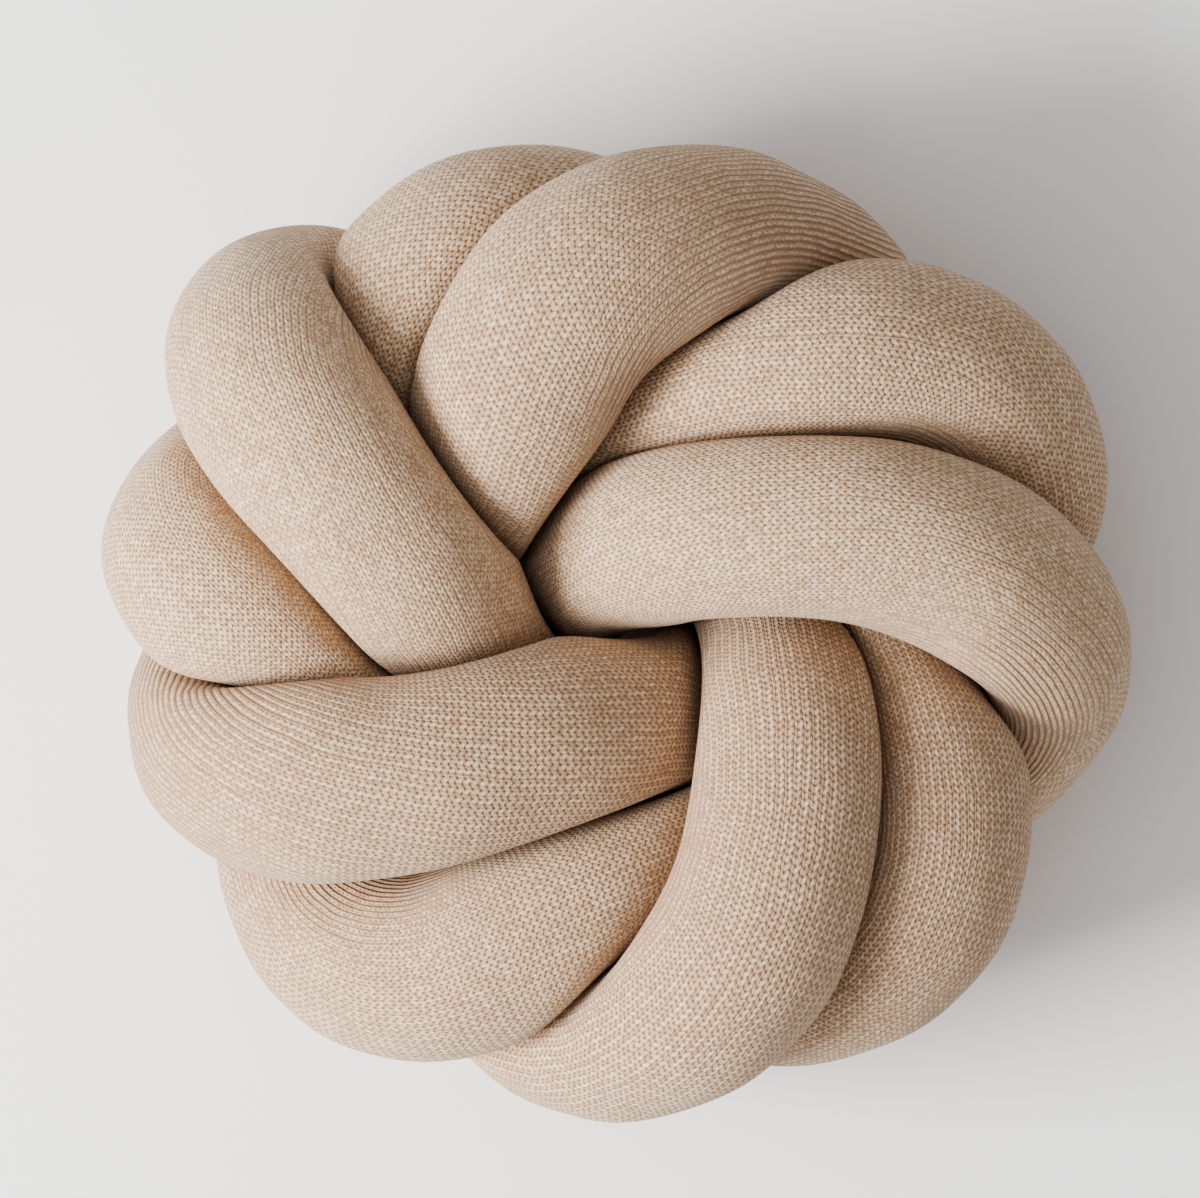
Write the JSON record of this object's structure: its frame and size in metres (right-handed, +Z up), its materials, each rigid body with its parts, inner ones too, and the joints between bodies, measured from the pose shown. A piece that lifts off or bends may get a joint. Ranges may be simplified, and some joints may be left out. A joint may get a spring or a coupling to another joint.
{
  "type": "knot cushion",
  "caption": "Thick round cushion wound from a stuffed, knitted tube into a knotted rosette with a spiral of lobes and a pinwheel middle.",
  "frame": {"origin": "middle of the plan, on the surface that the cushion lies on", "axes": "+Z up, out of the pinwheel face; +X along the longest side of the plan, to the right in the picture; +Y towards the picture's top"},
  "size_m": [0.4576, 0.4368, 0.2302],
  "materials": {
    "sand_knit": "sand melange machine knit with a soft, faintly fuzzy surface"
  },
  "bodies": {
    "root": {"knotted_tube": "sand_knit"}
  },
  "joints": []
}
